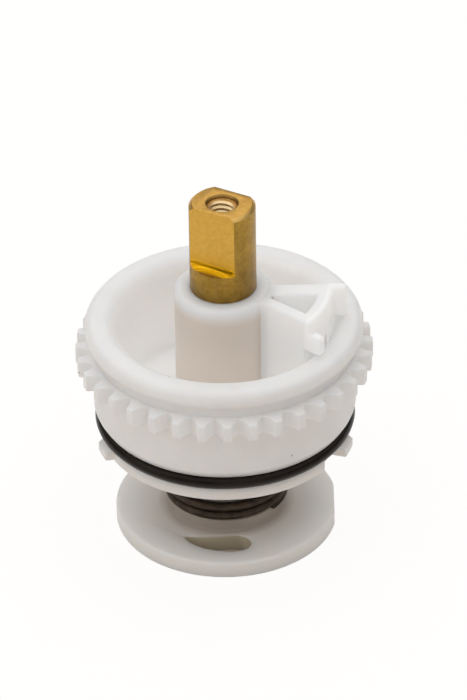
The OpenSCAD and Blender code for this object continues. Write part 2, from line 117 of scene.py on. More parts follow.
# %% [markdown]
# ## Node trees from plain expressions
# Materials and Geometry Nodes are both node trees. They could be wired by hand in the editor, but in a
# script a rule should read as it would on paper. So a wire is one output socket, and arithmetic on it
# adds Math nodes. A reflected method is for a plain number on the left, as in 1 - mask.

# %% Wires
def math_method(operation, reflected=False):
    """A method of a wire that adds one Math node."""
    def method(self, *others):
        values = (*others, self) if reflected else (self, *others)
        return self.tree.add("ShaderNodeMath", {"operation": operation}, dict(enumerate(values)))
    return method


class Wire:
    """An output socket that understands arithmetic."""

    def __init__(self, tree, socket):
        self.tree, self.socket = tree, socket

    __add__, __radd__ = math_method("ADD"), math_method("ADD", reflected=True)
    __sub__, __rsub__ = math_method("SUBTRACT"), math_method("SUBTRACT", reflected=True)
    __mul__, __rmul__ = math_method("MULTIPLY"), math_method("MULTIPLY", reflected=True)
    __truediv__, __rtruediv__ = math_method("DIVIDE"), math_method("DIVIDE", reflected=True)
    __pow__, __mod__ = math_method("POWER"), math_method("FLOORED_MODULO")
    __gt__, __lt__ = math_method("GREATER_THAN"), math_method("LESS_THAN")
    __abs__, sign, floor = math_method("ABSOLUTE"), math_method("SIGN"), math_method("FLOOR")
    sin, cos = math_method("SINE"), math_method("COSINE")
    at_most, at_least = math_method("MINIMUM"), math_method("MAXIMUM")

    def ramp(self, low, high):
        """0 at low, 1 at high, straight between them."""
        return self.tree.add("ShaderNodeMapRange", {"clamp": True},
                             {"Value": self, "From Min": low, "From Max": high})

# %% [markdown]
# Every other node comes from one method, which takes the node's type, its settings and what goes into
# its sockets, as numbers or wires. Colours are mixed with Mix nodes, because a Math node would turn
# them grey.

# %% Trees
class Tree:
    """A node tree that is filled by add()."""

    def __init__(self, tree):
        self.tree = tree

    def add(self, kind, settings=None, inputs=None, out=0):
        node = self.tree.nodes.new(kind)
        for name, value in (settings or {}).items():
            setattr(node, name, value)
        for key, value in (inputs or {}).items():
            self.feed(self.find(node.inputs, key), value)
        return Wire(self, self.find(node.outputs, out)) if len(node.outputs) else node

    @staticmethod
    def find(sockets, key):
        if isinstance(key, int):
            return sockets[key]
        named = [s for s in sockets if s.identifier == key] or [s for s in sockets if s.name == key]
        return named[0]

    def feed(self, socket, value):
        if isinstance(value, Wire):
            self.tree.links.new(value.socket, socket)
        else:
            socket.default_value = value

    def mix(self, share, a, b):
        """Colour a where share is 0, colour b where it is 1."""
        a, b = [(*c, 1) if isinstance(c, tuple) else c for c in (a, b)]
        return self.add("ShaderNodeMix", {"data_type": "RGBA"},
                        {"Factor_Float": share, "A_Color": a, "B_Color": b}, "Result_Color")

    def noise(self, place, scale, detail=2.0, rough=0.5, stretch=None):
        """Smooth random values round 0.5 at this many lumps per millimetre."""
        if stretch:
            place = self.add("ShaderNodeVectorMath", {"operation": "MULTIPLY"}, {0: place, 1: stretch})
        return self.add("ShaderNodeTexNoise", None,
                        {"Vector": place, "Scale": scale, "Detail": detail, "Roughness": rough}, "Fac")

    def split(self, place):
        """The x, y and z of a place."""
        parts = self.add("ShaderNodeSeparateXYZ", None, {0: place})
        return [Wire(self, s) for s in parts.socket.node.outputs]

    def place_at(self, x, y, z):
        return self.add("ShaderNodeCombineXYZ", None, {"X": x, "Y": y, "Z": z})

# %% [markdown]
# A finish is a material with one Principled shader. Its patterns could be pictures wrapped round each
# piece, but they would stretch and show seams. They are worked out from the place on the object instead,
# in millimetres, so a scratch has the same size on every piece.

# %% Finishes
class Finish(Tree):
    """A material whose surface is one Principled shader, with places in millimetres."""

    def __init__(self, name):
        self.material = bpy.data.materials.new(name)
        self.material.use_nodes = True
        super().__init__(self.material.node_tree)
        self.tree.nodes.clear()
        place = self.add("ShaderNodeTexCoord", None, None, "Object")
        self.place = self.add("ShaderNodeVectorMath", {"operation": "SCALE"},
                              {0: place, "Scale": 1 / MM})

    def surface(self, inputs, height, depth_mm):
        """Ends the tree with a shader of these inputs and a bump of this height and depth."""
        inputs["Normal"] = self.add("ShaderNodeBump", None,
                                    {"Height": height, "Distance": depth_mm * MM, "Strength": 1.0})
        shader = self.add("ShaderNodeBsdfPrincipled", None, inputs)
        self.add("ShaderNodeOutputMaterial", None, {"Surface": shader})
        print(self.material.name, "-", len(self.tree.nodes), "nodes")
        return self.material

# %% [markdown]
# ## Floor
# The object stands on white paper. A plain floor would need so much light to look white that the plastic
# would clip. So the camera and reflections see a white glow with a share of plain paper in it, which
# keeps the shadow, and to all other light the paper is a little warm, because the plastic picks up
# warmth low down in the photograph. Below the disc the paper is painted dark and has no glow, a painted
# shadow, so the ports aren't lit from below.

# %% Floor
FLOOR_R = 6.0
floor_drop = 0.02
# The second colour is a painted shadow, for the paper below the disc
floor_warm, floor_painted_shadow = (0.86, 0.785, 0.72, 1), (0.53, 0.44, 0.355, 1)
floor_seen_white, floor_glow = 0.85, 1.06
painted_shadow_r, clear_r = 12.9, 15.6


def floor_material():
    tree = Finish("pale_floor")
    x, y, _ = tree.split(tree.place)
    # Painted shadow: inside this radius the paper turns to the dark colour and loses its glow
    clear = ((x * x + y * y) ** 0.5).ramp(painted_shadow_r, clear_r)
    dim = tree.add("ShaderNodeBsdfDiffuse", None, {"Color": floor_painted_shadow})
    warm = tree.add("ShaderNodeBsdfDiffuse", None, {"Color": floor_warm})
    paper = tree.add("ShaderNodeMixShader", None, {0: clear, 1: dim, 2: warm})
    white = tree.add("ShaderNodeEmission", None, {"Color": (1, 1, 1, 1), "Strength": floor_glow})
    path = tree.add("ShaderNodeLightPath", None, None, "Is Camera Ray")
    rays = path.socket.node.outputs
    seen = path + Wire(tree, rays["Is Glossy Ray"]) + Wire(tree, rays["Is Transmission Ray"])
    both = tree.add("ShaderNodeMixShader", None,
                    {0: seen.ramp(0, 1) * clear * floor_seen_white, 1: paper, 2: white})
    tree.add("ShaderNodeOutputMaterial", None, {"Surface": both})
    return tree.material


bm = bmesh.new()
bmesh.ops.create_circle(bm, cap_ends=True, segments=64, radius=FLOOR_R)
floor_mesh = bpy.data.meshes.new("floor")
bm.to_mesh(floor_mesh)
bm.free()
floor = bpy.data.objects.new("floor", floor_mesh)
floor.location.z = -floor_drop * MM
floor_mesh.materials.append(floor_material())
scene.collection.objects.link(floor)
floor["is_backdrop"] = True
print("floor, metres across:", 2 * FLOOR_R)

# %% [markdown]
# ## Light
# In the photograph the light is so soft that nothing throws an edge of shadow, and it reaches down into
# the cup. A bright room alone would leave the cup dark, since its floor sees little of the room. So one
# very large lamp hangs overhead, three smaller ones behind, to the left and in front lift the sides,
# and a dim room fills what is left.

# %% Light
room_level, room_colour = 0.10, (1.0, 0.985, 0.97)
world = bpy.data.worlds.new("pale_room")
world.use_nodes = True
room = world.node_tree.nodes["Background"].inputs
room["Color"].default_value = (*room_colour, 1)
room["Strength"].default_value = room_level
scene.world = world


def soft_lamp(name, place, size, watts, colour):
    """A square lamp of this size in metres, aimed at the cap."""
    data = bpy.data.lights.new(name, "AREA")
    data.size, data.energy, data.color = size, watts, colour
    lamp = bpy.data.objects.new(name, data)
    lamp.location = place
    lamp.rotation_mode = "QUATERNION"
    lamp.rotation_quaternion = (axis_point - Vector(place)).to_track_quat("-Z", "Y")
    scene.collection.objects.link(lamp)
    print(name, "-", watts, "watts")


white_light, warm_light = (1.0, 1.0, 1.0), (1.0, 0.99, 0.98)
soft_lamp("lamp_above", (0.0, 0.05, 0.90), 2.6, 19.5, white_light)
soft_lamp("lamp_behind", (0.0, 1.50, 0.90), 1.6, 2.6, white_light)
soft_lamp("lamp_left", (-0.70, -0.25, 0.35), 0.4, 0.7, warm_light)
soft_lamp("lamp_front", (0.25, -1.30, 0.30), 0.8, 1.5, warm_light)
scene.view_settings.view_transform = "Standard"

# %% [markdown]
# ## Sizes from the frame
# Pieces that fit together share their heights and radii. They could be typed again for each piece, but
# then one could be changed alone, so they are read off the CAD boxes once, in millimetres. Only what
# a box can't tell, such as the depth of a groove, is written as a number.

# %% Sizes
def box_mm(node):
    low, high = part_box(node)
    return Vector(low) / MM, Vector(high) / MM


cap_low, cap_high = box_mm("cap_body")
stem_low, stem_high = box_mm("stem")
disc_low, disc_high = box_mm("flow_disc")
spring_low, spring_high = box_mm("spring")
brass_low, brass_high = box_mm("spindle")
ring_low, ring_high = box_mm("body_o_ring")
thrust_low, thrust_high = box_mm("thrust_washer")
clip_low, clip_high = box_mm("stem_clip")

tip_r, crest_z, neck_z = (cap_high.x - cap_low.x) / 2, cap_high.z, cap_low.z
floor_z, hub_z, hub_top, hub_r = thrust_low.z, thrust_high.z, stem_high.z, 7.0
cup_r, cup_draft, wall_r, lip_r = 15.15, 0.4, 18.85, 19.9
flange_z, flange_top, shoulder_z, pocket_top = 15.1, 17.05, 19.35, 18.5
bore_r, journal_r, neck_r, pocket_r = 5.45, 5.4, 7.0, 9.3
disc_t, seat_z, seat_r, port_in, port_out = 2.6, 4.6, 8.35, 9.1, 13.2
print("crest", round(crest_z, 2), "hub top", round(hub_top, 2), "tooth tips", round(tip_r, 2))

# %% [markdown]
# ## White plastic
# The cap, stem and disc are moulded acetal with a satin skin. Light goes two millimetres into it and
# softens every edge, which subsurface scattering gives. One plain white would look painted, so faint
# clouds and specks of dust break it up, three of them where the photograph shows one.

# %% Clouds and specks
clouds_per_mm, dust_per_mm, dust_size, dust_left_out = 0.22, 0.16, 0.022, 0.45
specks_seen, speck_r = ((0.89, -6.94, 31.62), (-2.64, -6.48, 35.84), (9.34, -16.37, 21.70)), 0.14


def clouded(f, tint):
    """The tint with faint clouds and specks of dust."""
    cloud = f.noise(f.place, clouds_per_mm, 3.0)
    shade = f.mix(cloud.ramp(0.3, 0.7), tuple(0.965 * c for c in tint), tint)
    cell = f.add("ShaderNodeTexVoronoi", {"feature": "F1"},
                 {"Vector": f.place, "Scale": dust_per_mm}, "Distance")
    pick = f.split(Wire(f, cell.socket.node.outputs["Color"]))[0]
    speck = (cell < dust_size) * (pick > dust_left_out)
    for seen_at in specks_seen:
        away = f.add("ShaderNodeVectorMath", {"operation": "DISTANCE"}, {0: f.place, 1: seen_at}, "Value")
        speck = speck.at_least(away < speck_r)
    return f.mix(speck * 0.6, shade, (0.30, 0.25, 0.20))

# %% [markdown]
# The plastic is painted darker and warmer where shade falls. The hub's side has painted shade, warm as if
# the brass inside showed through. The parts below the O-ring are painted warmer and darker, a painted warm
# shade for the light that bounces up from the paper. The spring's seat, the disc's top under the cap and
# the ports carry painted shade. Each could be a material of its own with a hard edge. One material with
# soft masks of radius and height gives edges as soft as real shade.

# %% Painted shade
def with_painted_shade(f, colour, radius, z):
    """The colour with painted shade and painted warmth, by radius and height."""
    # Painted shade on the hub's side, warmed as if the brass inside showed through
    hub_side_shade = (1 - radius.ramp(hub_r + 0.03, hub_r + 0.25)) * (z > floor_z)
    hub_side_shade = hub_side_shade * (1 - z.ramp(hub_top - 2.6, hub_top - 0.8))
    colour = f.mix(hub_side_shade, colour, (0.81, 0.725, 0.65))
    # Painted warm shade below the O-ring, for light bounced up from the paper
    low = 1 - z.ramp(flange_z + 0.5, flange_z + 3.5)
    colour = f.mix(low * 0.9, colour, (0.865, 0.835, 0.795))
    # Painted shade on the spring's seat, deep under the cap
    seat_painted_shade = (1 - radius.ramp(seat_r - 0.05, seat_r + 1.65)) * (z < seat_z + 0.4)
    colour = f.mix(seat_painted_shade * 0.85, colour, (0.40, 0.33, 0.27))
    # Painted shade on the disc's top round the spring, under the cap
    disc_painted_shade = (1 - radius.ramp(9.0, 13.5)) * (z < disc_t + 0.4) * (z > disc_t - 0.2)
    colour = f.mix(disc_painted_shade * 0.4, colour, (0.66, 0.57, 0.49))
    # Painted shade inside the ports
    port_painted_shade = (z < disc_t - 0.25) * (z > 0.05) * (radius > port_in - 0.2) * (radius < port_out + 0.2)
    return f.mix(port_painted_shade * 0.8, colour, (0.60, 0.53, 0.38))

# %% [markdown]
# Some light passes right through the cup's thin wall and floor and the hollow arm. Following it through
# each wall would take very many samples. A faint glow on their inner sides stands in for it, and leaves
# out the hub, where the brass blocks the light.

# %% Light through thin walls
glow_strength, glow_on_arm = 0.13, 0.5


def light_through(radius, z):
    """1 on the cup's inner side, less on the arm, 0 on the hub and outside."""
    outside = radius.ramp(cup_r, cup_r + 1.6) * (z < crest_z + 0.2)
    thin = (1 - outside) * radius.ramp(hub_r + 0.1, hub_r + 1.6)
    of_cap = (radius > cup_r - 0.3).at_least(z < floor_z + 0.2)
    return thin * (z > floor_z - 0.3) * (glow_on_arm + (1 - glow_on_arm) * of_cap)

# %% White plastic
def white_plastic(name, tint):
    f = Finish(name)
    x, y, z = f.split(f.place)
    radius = (x * x + y * y) ** 0.5
    flow = f.noise(f.place, 1.0, 2.0, stretch=(0.5, 0.5, 2.0))
    return f.surface({
        "Base Color": with_painted_shade(f, clouded(f, tint), radius, z),
        "Roughness": 0.36 + 0.12 * flow,
        "IOR": 1.48,
        "Subsurface Weight": 0.9,
        "Subsurface Radius": (1.0, 0.9, 0.8),
        "Subsurface Scale": 2.3 * MM,
        "Emission Color": f.mix(light_through(radius, z), (0.0, 0.0, 0.0), (1.0, 0.985, 0.97)),
        "Emission Strength": glow_strength,
    }, height=f.noise(f.place, 5.0, 3.0), depth_mm=0.006)


ACETAL = white_plastic("white_acetal", (0.905, 0.904, 0.902))

# %% [markdown]
# ## Rubber, spring steel and small steel parts
# Nitrile rubber is nearly black with a soft sheen and a faint bloom. The spring's wire is drawn steel
# that has gone dark brown under its oil. The steel rings and the screw inside are bright. Plain colours
# would do at this size, but a little noise in colour, roughness and height makes them catch the light
# unevenly, as worn parts do.

# %% Rubber and steel
def black_rubber():
    f = Finish("black_rubber")
    bloom = f.noise(f.place, 0.8, 4.0)
    return f.surface({
        "Base Color": f.mix(bloom.ramp(0.35, 0.75), (0.006, 0.0035, 0.0025), (0.012, 0.008, 0.006)),
        "Roughness": 0.26 + 0.14 * bloom,
        "IOR": 1.4,
        "Specular IOR Level": 0.3,
        "Specular Tint": (1.0, 0.90, 0.80, 1),
    }, height=f.noise(f.place, 9.0, 2.0), depth_mm=0.004)


def dark_wire():
    f = Finish("spring_steel")
    oil = f.noise(f.place, 0.9, 4.0)
    drawn = f.noise(f.place, 3.0, 3.0)
    return f.surface({
        "Base Color": f.mix(oil.ramp(0.3, 0.7), (0.036, 0.024, 0.016), (0.080, 0.056, 0.038)),
        "Metallic": 0.7,
        "Roughness": 0.38 + 0.2 * drawn,
    }, height=drawn, depth_mm=0.01)


def bright_steel():
    f = Finish("bright_steel")
    brushed = f.noise(f.place, 6.0, 2.0, stretch=(1.0, 0.15, 1.0))
    return f.surface({
        "Base Color": f.mix(brushed, (0.48, 0.48, 0.485), (0.62, 0.62, 0.615)),
        "Metallic": 1.0,
        "Roughness": 0.24 + 0.2 * brushed,
    }, height=brushed, depth_mm=0.003)


RUBBER = black_rubber()
WIRE = dark_wire()
STEEL = bright_steel()

# %% [markdown]
# ## Brass
# The spindle is one bar with several histories. Its round sides and top were turned, so fine rings run
# round them and they have dulled a little, and the chamfer round the top is painted bright, a painted
# highlight.
# Its flats were milled later, so they are cleaner, with the arcs of the cutter near the foot. The foot of
# each flat and the run-out below it are painted orange, a painted reflection of the brass beside them, and
# the hole is painted bright at its mouth and dark deeper down, painted highlight and painted shade. One
# brass for all would lose that, and a material for each face would need the mesh split up. So the faces
# are told apart by their distance from the axis along the flats' outward direction, and by their height.

# %% Where each tool has been
flat_turn = math.radians(-28.5)
flat_out = (math.sin(flat_turn), -math.cos(flat_turn))
flat_half, ledge_z, runout_h, runout_reach, cutter_z = 3.175, 44.3, 1.2, 4.6, 33.0
edge_w, hole_mouth_r, hole_mouth_deep = 0.5, 2.5, 0.6
near = 0.02


def tool_marks(x, y, z):
    """Masks of the milled flats, run-outs, chamfered top and hole, and the cutter's radius."""
    out = abs(x * flat_out[0] + y * flat_out[1])
    along = y * flat_out[0] - x * flat_out[1]
    above = z > ledge_z + near
    milled = (out > flat_half - 0.03) * (out < flat_half + near) * above
    runout = (out > flat_half + near) * (out < runout_reach) * above * (z < ledge_z + runout_h)
    top = z.ramp(brass_high.z - edge_w - 0.1, brass_high.z - edge_w + 0.05)
    in_hole = ((x * x + y * y) ** 0.5 < hole_mouth_r) * (z < brass_high.z - 0.08)
    cutter = (along * along + (z - cutter_z) ** 2.0) ** 0.5
    return milled, runout, top, in_hole, cutter

# %% Brass
def machined_brass():
    f = Finish("turned_brass")
    x, y, z = f.split(f.place)
    milled, runout, top, in_hole, cutter = tool_marks(x, y, z)
    dull = f.noise(f.place, 0.45, 4.0, 0.6)
    spots = f.noise(f.place, 1.6, 3.0, 0.6)
    fine = f.noise(f.place, 3.0, 3.0, 0.7, stretch=(0.8, 0.8, 3.0))
    streaks = f.noise(f.place, 1.3, 3.0, 0.6, stretch=(1.6, 1.6, 0.22))
    rings = f.noise(f.place, 1.0, 2.0, stretch=(0.25, 0.25, 9.0))
    arcs = f.noise(f.place_at(cutter, 0, 0), 3.2, 2.0)
    # Turned sides and top face, and the chamfer painted bright all round, a painted highlight
    old = f.mix(dull.ramp(0.3, 0.7), (0.25, 0.145, 0.022), (0.46, 0.27, 0.045))
    old = f.mix(streaks.ramp(0.35, 0.65) * 0.6, old, (0.36, 0.225, 0.055))
    old = f.mix(spots.ramp(0.5, 0.75) * 0.6, old, (0.18, 0.09, 0.028))
    face = f.mix(spots.ramp(0.35, 0.65), (0.56, 0.315, 0.065), (0.67, 0.39, 0.095))
    old = f.mix(top, old, f.mix(z > brass_high.z - 0.04, (0.78, 0.49, 0.15), face))
    # Milled flats; the hole, with a painted highlight at its mouth and painted shade deeper down;
    # and the foot and run-out of each flat, painted orange, a painted reflection
    clean = f.mix(spots.ramp(0.35, 0.7), (0.59, 0.335, 0.060), (0.68, 0.395, 0.080))
    clean = f.mix(fine.ramp(0.45, 0.75) * 0.5, clean, (0.50, 0.27, 0.045))
    # Painted highlight in the hole's mouth and painted shade deeper in the hole
    hole = f.mix(z > brass_high.z - hole_mouth_deep, (0.95, 0.74, 0.42), (0.34, 0.19, 0.05))
    colour = f.mix((milled + in_hole).at_most(1), old, f.mix(in_hole, clean, hole))
    # The foot of each flat is painted orange, a painted reflection of the ledge below
    painted_foot_reflection = milled * (1 - z.ramp(ledge_z, ledge_z + 3.2))
    colour = f.mix(painted_foot_reflection * 0.8, colour, (0.66, 0.34, 0.012))
    # The run-out's cutter arcs are real; its bright orange is partly a painted reflection
    cut = f.mix(arcs.ramp(0.4, 0.6), (0.46, 0.21, 0.003), (0.82, 0.43, 0.010))
    arcs_show = milled * (1 - z.ramp(ledge_z + 1.0, ledge_z + 4.0))
    return f.surface({
        "Base Color": f.mix(runout, colour, cut),
        "Metallic": 1.0,
        "Roughness": 0.34 + 0.10 * dull - 0.04 * milled - 0.10 * runout,
    }, height=rings * (1 - milled) + arcs * arcs_show * 2.0 + spots * 0.4, depth_mm=0.007)


BRASS = machined_brass()

# %% [markdown]
# ## Helpers for pieces
# Real parts have no sharp edges: a mould or a file leaves a small radius that catches the light. It
# could be modelled edge by edge, but the Bevel modifier finds every edge that turns by more than
# a given angle. A piece keeps its place in its mesh and its object at the origin, as the frame does.

# %% Making and baking
def new_piece(name, verts, faces, edges=()):
    """A mesh object from places in metres."""
    mesh = bpy.data.meshes.new(name)
    mesh.from_pydata([tuple(v) for v in verts], [tuple(e) for e in edges], [tuple(f) for f in faces])
    piece = bpy.data.objects.new(name, mesh)
    scene.collection.objects.link(piece)
    return piece


def baked(piece):
    """The piece with its modifiers applied."""
    depsgraph = bpy.context.evaluated_depsgraph_get()
    mesh = bpy.data.meshes.new_from_object(piece.evaluated_get(depsgraph))
    piece.modifiers.clear()
    piece.data = mesh
    return piece


def beveled(piece, width_mm, angle=28, segments=3, clamp=True):
    """Rounds the edges that turn by more than this angle."""
    mod = piece.modifiers.new("round_edges", "BEVEL")
    mod.width = width_mm * MM
    mod.segments = segments
    mod.limit_method = "ANGLE"
    mod.angle_limit = math.radians(angle)
    mod.use_clamp_overlap = clamp
    return baked(piece)

# %% Cleaning and dressing
SMOOTH_DEG = 35
SAME_PLACE = 0.0005 * MM


def shaded(piece):
    """Shades curves smooth and leaves true edges sharp."""
    piece.data.shade_smooth()
    piece.data.set_sharp_from_angle(angle=math.radians(SMOOTH_DEG))
    return piece


def cleaned(piece, flat_deg=0.2):
    """Joins doubles and flat faces, turns every face outwards and shades the piece."""
    bm = bmesh.new()
    bm.from_mesh(piece.data)
    bmesh.ops.remove_doubles(bm, verts=bm.verts, dist=SAME_PLACE)
    if flat_deg:
        bmesh.ops.dissolve_limit(bm, angle_limit=math.radians(flat_deg), verts=bm.verts, edges=bm.edges)
    bmesh.ops.recalc_face_normals(bm, faces=bm.faces)
    bm.to_mesh(piece.data)
    bm.free()
    return shaded(piece)


def dress(piece, body, slot, material, *replaced):
    """Puts a finished piece on its body with its finish."""
    piece.data.materials.clear()
    piece.data.materials.append(material)
    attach(piece, body)
    if replaced:
        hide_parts(*replaced)
    piece.data.calc_loop_triangles()
    print(piece.name, "-", len(piece.data.loop_triangles), "triangles")
    return piece

# %% [markdown]
# ## Geometry Nodes from plain expressions
# Most forms here follow a rule, so each kind gets a recipe: a Geometry Nodes tree with named inputs. It
# works on the piece's own mesh, which may be just the wire of a section, and ends by making real faces
# and giving them a material. The same shapes could be typed as mesh code, but a recipe can be run again
# with other sizes.

# %% Recipes
class Recipe(Tree):
    """A Geometry Nodes tree with named inputs."""

    def __init__(self, name):
        self.group = bpy.data.node_groups.new(name, "GeometryNodeTree")
        super().__init__(self.group)
        self.keys = {}
        for way in ("OUTPUT", "INPUT"):
            self.group.interface.new_socket("Geometry", in_out=way, socket_type="NodeSocketGeometry")
        self.entry = self.group.nodes.new("NodeGroupInput")
        self.start = Wire(self, self.entry.outputs[0])

    def size(self, name):
        """A named number that each piece can set."""
        item = self.group.interface.new_socket(name, in_out="INPUT", socket_type="NodeSocketFloat")
        self.keys[name] = item.identifier
        return Wire(self, self.find(self.entry.outputs, item.identifier))

    def sizes(self, *names):
        return [self.size(name) for name in names]

    def moved(self, geometry, x, y, z):
        """Geometry with every point put at this place in millimetres."""
        place = self.add("ShaderNodeVectorMath", {"operation": "SCALE"},
                         {0: self.place_at(x, y, z), "Scale": MM})
        return self.add("GeometryNodeSetPosition", None, {"Geometry": geometry, "Position": place})

    def end(self, geometry, material):
        real = self.add("GeometryNodeRealizeInstances", None, {"Geometry": geometry})
        done = self.add("GeometryNodeSetMaterial", None, {"Geometry": real, "Material": material})
        self.feed(self.group.nodes.new("NodeGroupOutput").inputs[0], done)

    def run(self, piece, values):
        """The piece remade by this recipe with these values, as a plain mesh."""
        mod = piece.modifiers.new(self.group.name, "NODES")
        mod.node_group = self.group
        for name, value in values.items():
            mod[self.keys[name]] = float(value)
        baked(piece)
        print(self.group.name, "made", len(piece.data.polygons), "faces of", piece.name)
        return piece

# %% [markdown]
# ## Turned forms
# The cap, the stem, the disc and the O-ring are turned forms: one section, carried round an axis. The
# Screw modifier would do that, but it can't treat one angle unlike another, and the cap has teeth. So
# the section is drawn once as a wire, with a radius at each corner, and a flat grid is rolled round the
# axis, with one row for each point of the wire. On the way a rule may move each point.

# %% Section of a turned form
def section(name, corners, closed=True, fine=1.0):
    """The wire of a turned form's section. Each corner is (radius, height, rounding)."""
    places = []
    for i, (r, z, rounding) in enumerate(corners):
        here = np.array((r, z))
        if not rounding:
            places.append(here)
            continue
        before = np.array(corners[i - 1][:2]) - here
        after = np.array(corners[(i + 1) % len(corners)][:2]) - here
        u, v = before / np.linalg.norm(before), after / np.linalg.norm(after)
        half = math.acos(float(np.clip(u @ v, -1, 1))) / 2
        middle = here + (u + v) / np.linalg.norm(u + v) * rounding / math.sin(half)
        ends = [here + w * rounding / math.tan(half) - middle for w in (u, v)]
        turn = math.pi - 2 * half
        steps = max(2, round(turn * (1.5 + 3 * rounding) * fine))
        for k in range(steps + 1):
            share = k / steps
            arm = math.sin((1 - share) * turn) * ends[0] + math.sin(share * turn) * ends[1]
            places.append(middle + arm / math.sin(turn))
    if closed:
        places.append(places[0])
    rows = len(places)
    wire = new_piece(name, [(r, 0, z) for r, z in places], [], [(i, i + 1) for i in range(rows - 1)])
    print(name, "has", rows, "points in its section")
    return wire, rows

# %% A grid rolled round the axis
def unrolled(tree, columns, rows):
    """A flat grid, its column number, and the section's radius and height in each row."""
    grid = tree.add("GeometryNodeMeshGrid", None, {"Size X": columns, "Size Y": rows - 1,
                                                   "Vertices X": columns + 1, "Vertices Y": rows})
    place = tree.add("GeometryNodeInputPosition")
    x, y, _ = tree.split(place)
    column = (x + columns * 0.5 + 0.5).floor()
    row = (y + (rows - 1) * 0.5 + 0.5).floor()
    point = tree.add("GeometryNodeSampleIndex", {"data_type": "FLOAT_VECTOR"},
                     {"Geometry": tree.start, "Value": place, "Index": row})
    radius, _, height = tree.split(point)
    return grid, column, radius, height


def rolled_up(tree, grid, radius, azimuth, height):
    """The grid bent round the axis and closed. The azimuth is in radians from the front."""
    bent = tree.moved(grid, radius * azimuth.sin(), 0 - radius * azimuth.cos(), height)
    return tree.add("GeometryNodeMergeByDistance", None, {"Geometry": bent, "Distance": 0.0003 * MM})

# %% [markdown]
# ## The toothed cap
# The cap is one moulding. Almost all of it is turned: a rounded lip, a wall with a groove, a flange, and
# under it a spring pocket and a ring that is cored out to keep the walls even. The section below goes up
# the outside, over the lip, down into the cup, through the stem's bore and back out underneath.

# %% Section of the cap
bead_z, tooth_low, tooth_high = crest_z - 2.9, flange_z + 12.4, flange_z + 15.1
mouth_r, groove_r, flange_r = cup_r + cup_draft, 16.7, 17.8
ear_r, ear_slope = 18.9, 0.7
core_r, skirt_r = 11.0, 14.75
cap_corners = [
    (flange_r, flange_z, 0.15), (flange_r, flange_top - ear_slope, 0), (flange_r, flange_top, 0.15),
    (groove_r, flange_top, 0.1), (groove_r, shoulder_z, 0.1),
    (wall_r - 0.7, shoulder_z, 0.1), (wall_r, shoulder_z + 1.2, 0.9),
    (wall_r, tooth_low, 0.15), (tip_r, tooth_low, 0.22),
    (tip_r, tooth_high, 0.22), (wall_r, tooth_high, 0.15),
    (wall_r, bead_z, 0.25), (lip_r, bead_z + 0.75, 0.6),
    (lip_r, crest_z, 1.45), (mouth_r, crest_z, 1.9),
    (cup_r, floor_z, 0.9), (bore_r, floor_z, 0.1),
    (bore_r, neck_z, 0.1), (neck_r, neck_z, 0.2), (neck_r, pocket_top, 0.2),
    (pocket_r, pocket_top, 0.2), (pocket_r, flange_z, 0.15),
    (core_r, flange_z, 0.15), (core_r, pocket_top, 0.2),
    (skirt_r, pocket_top, 0.2), (skirt_r, flange_z, 0.15),
]
cap, cap_rows = section("toothed_cap", cap_corners)

# %% [markdown]
# Only the teeth, the two ears on the flange and the gap beside one ear depend on the angle. Teeth could
# be 36 copies of one block, but in the real mould each crest falls away into its valley in one curve.
# So a rule of the angle pulls the toothed ring in. Columns crowd near the teeth's edges, because the
# surface turns sharply there.

# %% Teeth, ears and gap as rules of the angle
TEETH, TOOTH_COLUMNS = 36, 20
crowding, crowded_at = 0.6, 0.4
soft_corner = 0.12
touch = 0.01


def toothed_lathe(rows, teeth):
    t = Recipe("toothed_lathe")
    turn, tip, wall, crest, depth, shape, low, high = t.sizes(
        "Turn", "Tip radius", "Wall radius", "Crest width", "Valley depth", "Valley shape",
        "Teeth from", "Teeth to")
    ear, ear_at, ear_span, gap_span, gap_depth = t.sizes(
        "Ear radius", "Ear angle", "Ear span", "Gap span", "Gap depth")
    grid, column, radius, height = unrolled(t, teeth * TOOTH_COLUMNS, rows)
    # Share of the half pitch from the nearest crest, with the columns crowded
    half_pitch = 180 / teeth
    share = column * (1 / TOOTH_COLUMNS)
    nearest = (share + 0.5).floor()
    away = abs(share - nearest) * 2
    wave = 2 * math.pi
    crowded = away - crowding / wave * (((away - crowded_at) * wave).sin() + math.sin(wave * crowded_at))
    from_crest = crowded * half_pitch
    azimuth = turn + nearest * (2 * half_pitch) + (share - nearest).sign() * from_crest
    # Radius of the toothed ring, and the share of its height over the wall that is left
    crest_half = crest / tip * math.degrees(0.5)
    w = ((half_pitch - from_crest) / (half_pitch - crest_half)).at_most(1)
    steep = (1 - w ** shape).at_least(0) ** (1 / shape)
    valley = tip - depth * (1 + soft_corner) * steep * steep / (steep + soft_corner)
    in_ring = (height > low - touch) * (height < high + touch) * (radius > wall + 0.1 * touch)
    left = (valley - wall) / (tip - wall)
    toothed = radius + in_ring * (radius - wall) * (left - 1)
    # Ears and gap push the flange's rim out and in
    signed = (azimuth + 180) % 360 - 180
    on_rim = (radius > flange_r - 0.2) * (height < flange_top + touch)
    on_ear = abs(abs(signed) - ear_at) < ear_span * 0.5
    reach = (ear - flange_r - ear_slope + flange_top - height).at_most(ear - flange_r)
    gap_end = ear_at - ear_span * 0.5
    in_gap = (signed < gap_end) * (signed > gap_end - gap_span)
    rim = toothed + on_rim * (on_ear * reach - in_gap * gap_depth)
    t.end(rolled_up(t, grid, rim, azimuth * math.radians(1), height), ACETAL)
    return t


